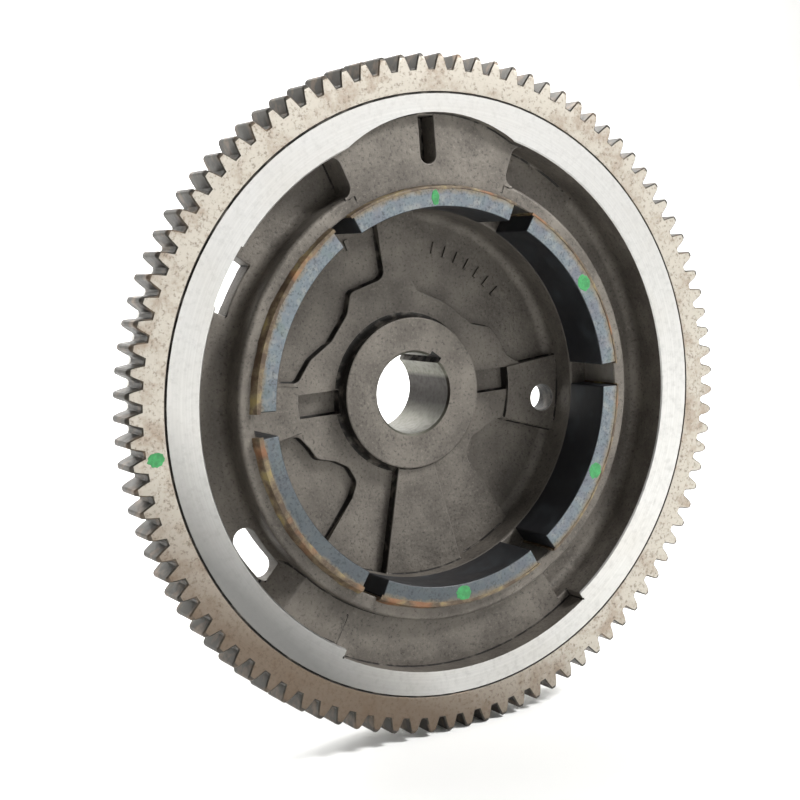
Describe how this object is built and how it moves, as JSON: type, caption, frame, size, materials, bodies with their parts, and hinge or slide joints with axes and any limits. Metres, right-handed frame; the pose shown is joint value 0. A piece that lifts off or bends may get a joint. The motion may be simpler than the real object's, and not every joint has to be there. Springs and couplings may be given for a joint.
{
  "type": "engine flywheel",
  "caption": "Engine flywheel: an iron casting with a shrunk-on starter ring gear, bonded charging magnets in a cup, an ignition magnet in its drum and a keyed crankshaft bore.",
  "frame": {"origin": "on the shaft axis, where the bore's wall begins 0.8 mm inside the hub's engine-side face", "axes": "+Y along the shaft from the engine side towards the fan side, so the magnet cup opens towards -Y; +Z from the axis up through the timing slot; +X to the right as seen from the engine side"},
  "size_m": [0.2514, 0.0588, 0.2514],
  "materials": {
    "cast_iron": "as cast, with the rim's face and the bore machined bright",
    "gear_steel": "turned faces, hobbed teeth",
    "ferrite": "ground sintered ferrite with a smooth coating",
    "resin": "amber adhesive resin",
    "pole_steel": "turned with the drum"
  },
  "bodies": {
    "root": {"flywheel_body": "cast_iron", "ring_gear": "gear_steel", "charging_magnet_1": "ferrite", "charging_magnet_2": "ferrite", "charging_magnet_3": "ferrite", "charging_magnet_4": "ferrite", "charging_magnet_5": "ferrite", "charging_magnet_6": "ferrite", "magnet_resin_1": "resin", "magnet_resin_2": "resin", "magnet_resin_3": "resin", "magnet_resin_4": "resin", "magnet_resin_5": "resin", "magnet_resin_6": "resin", "ignition_magnet": "ferrite", "leading_pole_shoe": "pole_steel", "trailing_pole_shoe": "pole_steel", "ignition_potting": "resin"}
  },
  "joints": []
}
